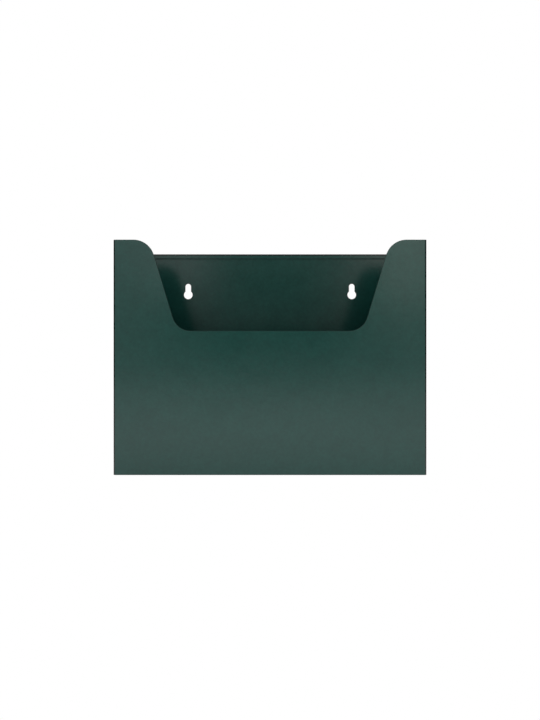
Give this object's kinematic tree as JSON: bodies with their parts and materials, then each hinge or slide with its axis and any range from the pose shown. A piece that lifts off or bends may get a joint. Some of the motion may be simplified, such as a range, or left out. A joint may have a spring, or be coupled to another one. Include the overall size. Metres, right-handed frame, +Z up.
{
  "type": "wall mounted mailbox",
  "caption": "Open-topped wall mailbox of green powder-coated sheet steel, with a scooped front and keyhole slots in its back for hanging.",
  "frame": {"origin": "on the wall plane, midway between the centres of the two keyholes' round ends", "axes": "+X to the right as seen from the front, +Y out of the back into the wall, +Z up"},
  "size_m": [0.32, 0.08, 0.24],
  "materials": {
    "green_powder_coat": "dark green semi-matt powder coat with a fine leather-like texture",
    "weld_steel": "bare fused steel, hidden between the sheets"
  },
  "bodies": {
    "root": {"front_shell": "green_powder_coat", "back_panel": "green_powder_coat", "floor_pan": "green_powder_coat", "left_side_welds": "weld_steel", "right_side_welds": "weld_steel", "left_floor_welds": "weld_steel", "right_floor_welds": "weld_steel", "front_floor_welds": "weld_steel", "back_floor_welds": "weld_steel"}
  },
  "joints": []
}
